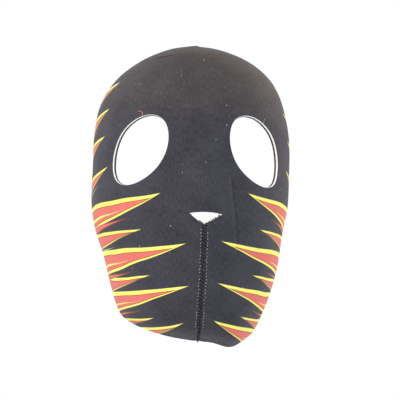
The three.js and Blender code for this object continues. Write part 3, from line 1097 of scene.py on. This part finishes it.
def print_group():
    """The printed face's colour: charcoal ground with streaks and clouds, painted light and shade over the
    face, painted shade and light along the creases, yellow strokes, coral with a thin rust edge, slivers, the
    dark line of the front seam and lint."""
    group, out = new_group("printed_cloth", (("Colour", "NodeSocketColor"),))
    uv = node(group, "ShaderNodeUVMap", uv_map="cloth").outputs[0]
    knit = use_group(group, "knit")
    cloud = maths(group, "MULTIPLY", noise(group, uv, CLOUD_SCALE), 1 - STREAK_SHARE)
    shade = maths(group, "MULTIPLY_ADD", knit.outputs["Streak"], STREAK_SHARE, cloud)
    # Painted shade and light of the creases: darker in each valley, lighter on the ridge beside it
    crease_shaded = maths(group, "MULTIPLY_ADD", attribute(group, "crease"), CREASE_PAINTED_SHADE, shade)
    yellow, coral, grey, inner = print_fields(group, uv)
    beside_seam = maths(group, "ABSOLUTE", attribute(group, "beside_seam"))
    yellow_ink = toned(group, shade, YELLOW, YELLOW_CONTRAST)
    layers = (
        (below(group, grey, 0.0, FINE_SOFT), toned(group, shade, GREY, GREY_CONTRAST)),
        (below(group, yellow, 0.0, INK_SOFT), yellow_ink),
        (below(group, coral, RUST_EDGE, INK_SOFT), RUST),
        (below(group, coral, 0.0, FINE_SOFT), toned(group, shade, CORAL, CORAL_CONTRAST)),
        (below(group, inner, 0.0, INK_SOFT), yellow_ink),
        (below(group, beside_seam, SEAM_LINE, SEAM_LINE), THREAD),
        (lint_mask(group, uv), LINT),
    )
    colour = ground_colour(group, crease_shaded)
    for mask, layer in layers:
        colour = blend_colour(group, mask, colour, layer)
    group.links.new(colour, out.inputs["Colour"])


def plain_material(name, colour, roughness, sheen=0.0):
    """A matt material with an optional soft sheen."""
    material = bpy.data.materials.new(name)
    material.use_nodes = True
    shader = material.node_tree.nodes["Principled BSDF"]
    shader.inputs["Base Color"].default_value = (*colour, 1.0)
    shader.inputs["Roughness"].default_value = roughness
    shader.inputs["Specular IOR Level"].default_value = SPECULAR
    shader.inputs["Sheen Weight"].default_value = sheen
    shader.inputs["Sheen Roughness"].default_value = SHEEN_ROUGHNESS
    shader.inputs["Sheen Tint"].default_value = (*SHEEN_TINT, 1.0)
    return material


def add_bump(tree, height, strength, depth):
    """Puts a height on a material's shader as a bump."""
    pairs = (("Height", height), ("Strength", strength), ("Distance", depth * MM))
    normal = node(tree, "ShaderNodeBump", pairs).outputs[0]
    tree.links.new(normal, tree.nodes["Principled BSDF"].inputs["Normal"])


def knit_bump(material):
    """The knit's height as a bump."""
    tree = material.node_tree
    add_bump(tree, use_group(tree, "knit").outputs["Height"], KNIT_BUMP, KNIT_DEPTH)


def grain_bump(material, scale, strength):
    """The grain's height as a bump."""
    tree = material.node_tree
    grain = use_group(tree, "grain", (("Scale", scale),))
    add_bump(tree, grain.outputs["Height"], strength, GRAIN_DEPTH)


knit_group()
grain_group()
print_group()
printed = plain_material("printed_neoprene", CHARCOAL, roughness=0.85, sheen=0.1)
knit_bump(printed)
printed_tree = printed.node_tree
printed_colour = use_group(printed_tree, "printed_cloth")
printed_base = printed_tree.nodes["Principled BSDF"].inputs["Base Color"]
printed_tree.links.new(printed_colour.outputs["Colour"], printed_base)
foam = plain_material("foam_edge", FOAM, roughness=0.9)
grain_bump(foam, scale=1600.0, strength=0.3)
dark_knit = plain_material("dark_knit", DARK_KNIT, roughness=0.9, sheen=0.15)
knit_bump(dark_knit)
black_thread = plain_material("black_thread", THREAD, roughness=0.8)
white_thread = plain_material("white_thread", WHITE_THREAD, roughness=0.7)
coral_thread = plain_material("coral_thread", PALE_CORAL, roughness=0.7)
fibre = plain_material("frayed_fibre", FIBRE, roughness=0.9)
tape = plain_material("hook_and_loop", TAPE, roughness=0.8, sheen=0.2)
grain_bump(tape, scale=1100.0, strength=0.6)

# Mask shell
body, plain, cloth = mask_layer(
    SHELL_GRID, inset=0.0, wall=SHELL_WALL, eye_margin=0.0, nose_margin=0.0, nose_bulge=NOSE_FOAM_BULGE
)
shell = add_mesh("printed_shell", (printed, foam, dark_knit), *body)
points, triangles = body[:2]
add_uv(shell, triangles, both_faces(cloth, len(points)))
under_nose = (plain[:, 2] < NOSE_LOW_Z) & (plain[:, 1] < SEAM_BEFORE_Y)
fields = {
    "across": cloth[:, 0],
    "height": plain[:, 2],
    # Crease heights, which the printed material reads as painted shade and light
    "crease": creases(plain),
    "beside_seam": np.where(under_nose, cloth[:, 0] - seam_drift(plain[:, 2]), FAR),
}
for field_name, field in fields.items():
    add_field(shell, field_name, both_faces(field, len(points)))
belongs(shell, "printed_neoprene", "mask_shell")

# Lining
body, plain, cloth = mask_layer(
    LINING_GRID,
    inset=SHELL_WALL + LINING_GAP,
    wall=LINING_WALL,
    eye_margin=LINING_SHOWS,
    nose_margin=-LINING_BACK,
    nose_bulge=0.0,
)
points, triangles, corner_normals = body[:3]
lining = add_mesh("knit_lining", (dark_knit,), points, triangles, corner_normals)
add_uv(lining, triangles, both_faces(cloth, len(points)))
belongs(lining, "dark_knit", "lining")

# Closure tab
tab = add_mesh("nape_tab", (tape,), *closure_tab()[:3])
belongs(tab, "hook_and_loop", "closure_tab")

# Threads
seam_thread = belongs(add_mesh("seam_stitches", (black_thread,), *seam_stitches()), "dark_knit")
needle_thread = belongs(add_mesh("needle_stitches", (white_thread,), *needle_stitches()), "dark_knit")
crown_thread = belongs(add_mesh("crown_stitches", (black_thread,), *crown_stitches()), "dark_knit")
coral_end = belongs(add_mesh("coral_loose_end", (coral_thread,), *loose_end("coral")), "printed_neoprene")
white_end = belongs(add_mesh("white_loose_end", (white_thread,), *loose_end("white")), "printed_neoprene")
seam_end = belongs(add_mesh("seam_thread_end", (black_thread,), *hem_tail()), "dark_knit")
fibres = belongs(add_mesh("frayed_fibres", (fibre,), *frayed_fibres()), "dark_knit")
tab_thread = belongs(add_mesh("tab_stitches", (black_thread,), *tab_stitches()), "dark_knit")

# Floor, light and camera
floor_mesh = bpy.data.meshes.new("floor")
corners = np.array([(-1, -1, 0), (1, -1, 0), (1, 1, 0), (-1, 1, 0)]) * FLOOR_REACH + (0, 0, FLOOR_Z)
floor_mesh.from_pydata((corners * MM).tolist(), [], [(0, 1, 2, 3)])
floor_mesh.materials.append(plain_material("floor_white", FLOOR_WHITE, roughness=0.9))
floor = bpy.data.objects.new("floor", floor_mesh)
bpy.context.scene.collection.objects.link(floor)


def add_area_light(name, place, width, watts, tint):
    """A soft square light aimed at the middle of the mask."""
    data = bpy.data.lights.new(name, "AREA")
    data.size = width
    data.energy = watts
    data.color = tint
    lamp = bpy.data.objects.new(name, data)
    lamp.location = place
    aim = Vector(CAMERA_TARGET) * MM - Vector(place)
    lamp.rotation_euler = aim.to_track_quat("-Z", "Y").to_euler()
    bpy.context.scene.collection.objects.link(lamp)


for light_name, light in LIGHTS.items():
    add_area_light(light_name, *light)

world = bpy.data.worlds.new("white_room")
world.use_nodes = True
background = world.node_tree.nodes["Background"]
background.inputs["Color"].default_value = (*ROOM_WHITE, 1.0)
background.inputs["Strength"].default_value = 1.0
bpy.context.scene.world = world
bpy.context.scene.view_settings.view_transform = "Standard"

azimuth, elevation, roll = np.radians([CAMERA_AZIMUTH, CAMERA_ELEVATION, CAMERA_ROLL])
level = np.cos(elevation)
back = Vector((np.sin(azimuth) * level, -np.cos(azimuth) * level, np.sin(elevation)))
right = Vector((np.cos(azimuth), np.sin(azimuth), 0.0))
up = back.cross(right)
rolled_right = right * np.cos(roll) - up * np.sin(roll)
rolled_up = up * np.cos(roll) + right * np.sin(roll)
camera_data = bpy.data.cameras.new("camera")
camera_data.sensor_width = SENSOR_WIDTH
camera_data.lens = SENSOR_WIDTH * CAMERA_DISTANCE / CAMERA_SPAN
camera = bpy.data.objects.new("camera", camera_data)
place = (Vector(CAMERA_TARGET) + back * CAMERA_DISTANCE) * MM
facing = Matrix((rolled_right, rolled_up, back)).transposed().to_4x4()
camera.matrix_world = Matrix.Translation(place) @ facing
bpy.context.scene.collection.objects.link(camera)
bpy.context.scene.camera = camera
